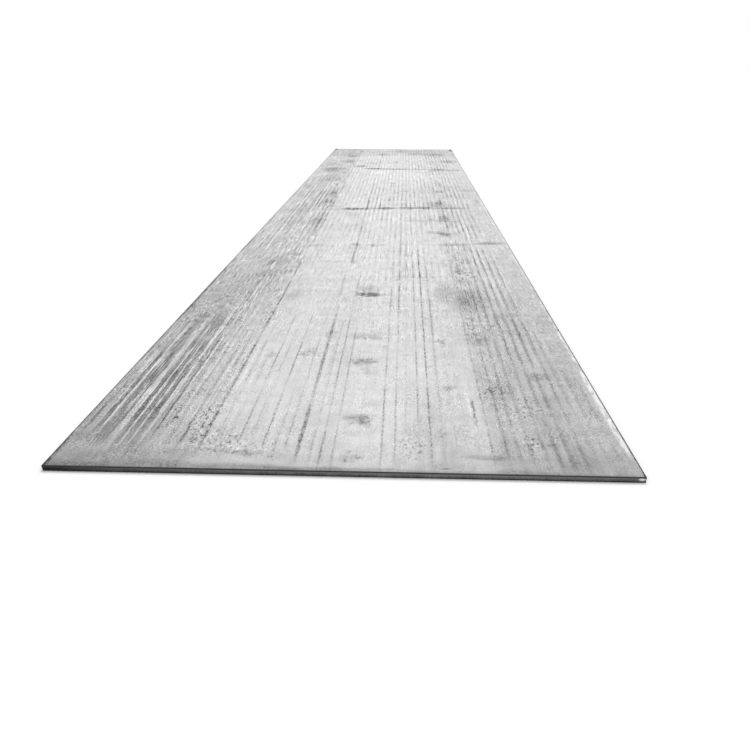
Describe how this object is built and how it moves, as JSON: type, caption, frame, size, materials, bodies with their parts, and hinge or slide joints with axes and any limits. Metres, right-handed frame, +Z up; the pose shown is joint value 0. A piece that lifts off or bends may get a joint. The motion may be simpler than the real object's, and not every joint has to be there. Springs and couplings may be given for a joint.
{
  "type": "steel plate",
  "caption": "Flat rectangular hot-rolled steel plate with mill scale on its faces and sheared edges on all sides.",
  "frame": {"origin": "centre of the plate's underside, on the surface that it lies on", "axes": "+Y along the length, which is the rolling direction; +X across the width; +Z up, through the thickness, out of the face with the rolled-over arris"},
  "size_m": [2, 12, 0.02],
  "materials": {
    "mill_scaled_steel": "hot rolled, light grey mill scale with dark drawn streaks along the rolling direction; dark sheared edges"
  },
  "bodies": {
    "root": {"plate": "mill_scaled_steel"}
  },
  "joints": []
}
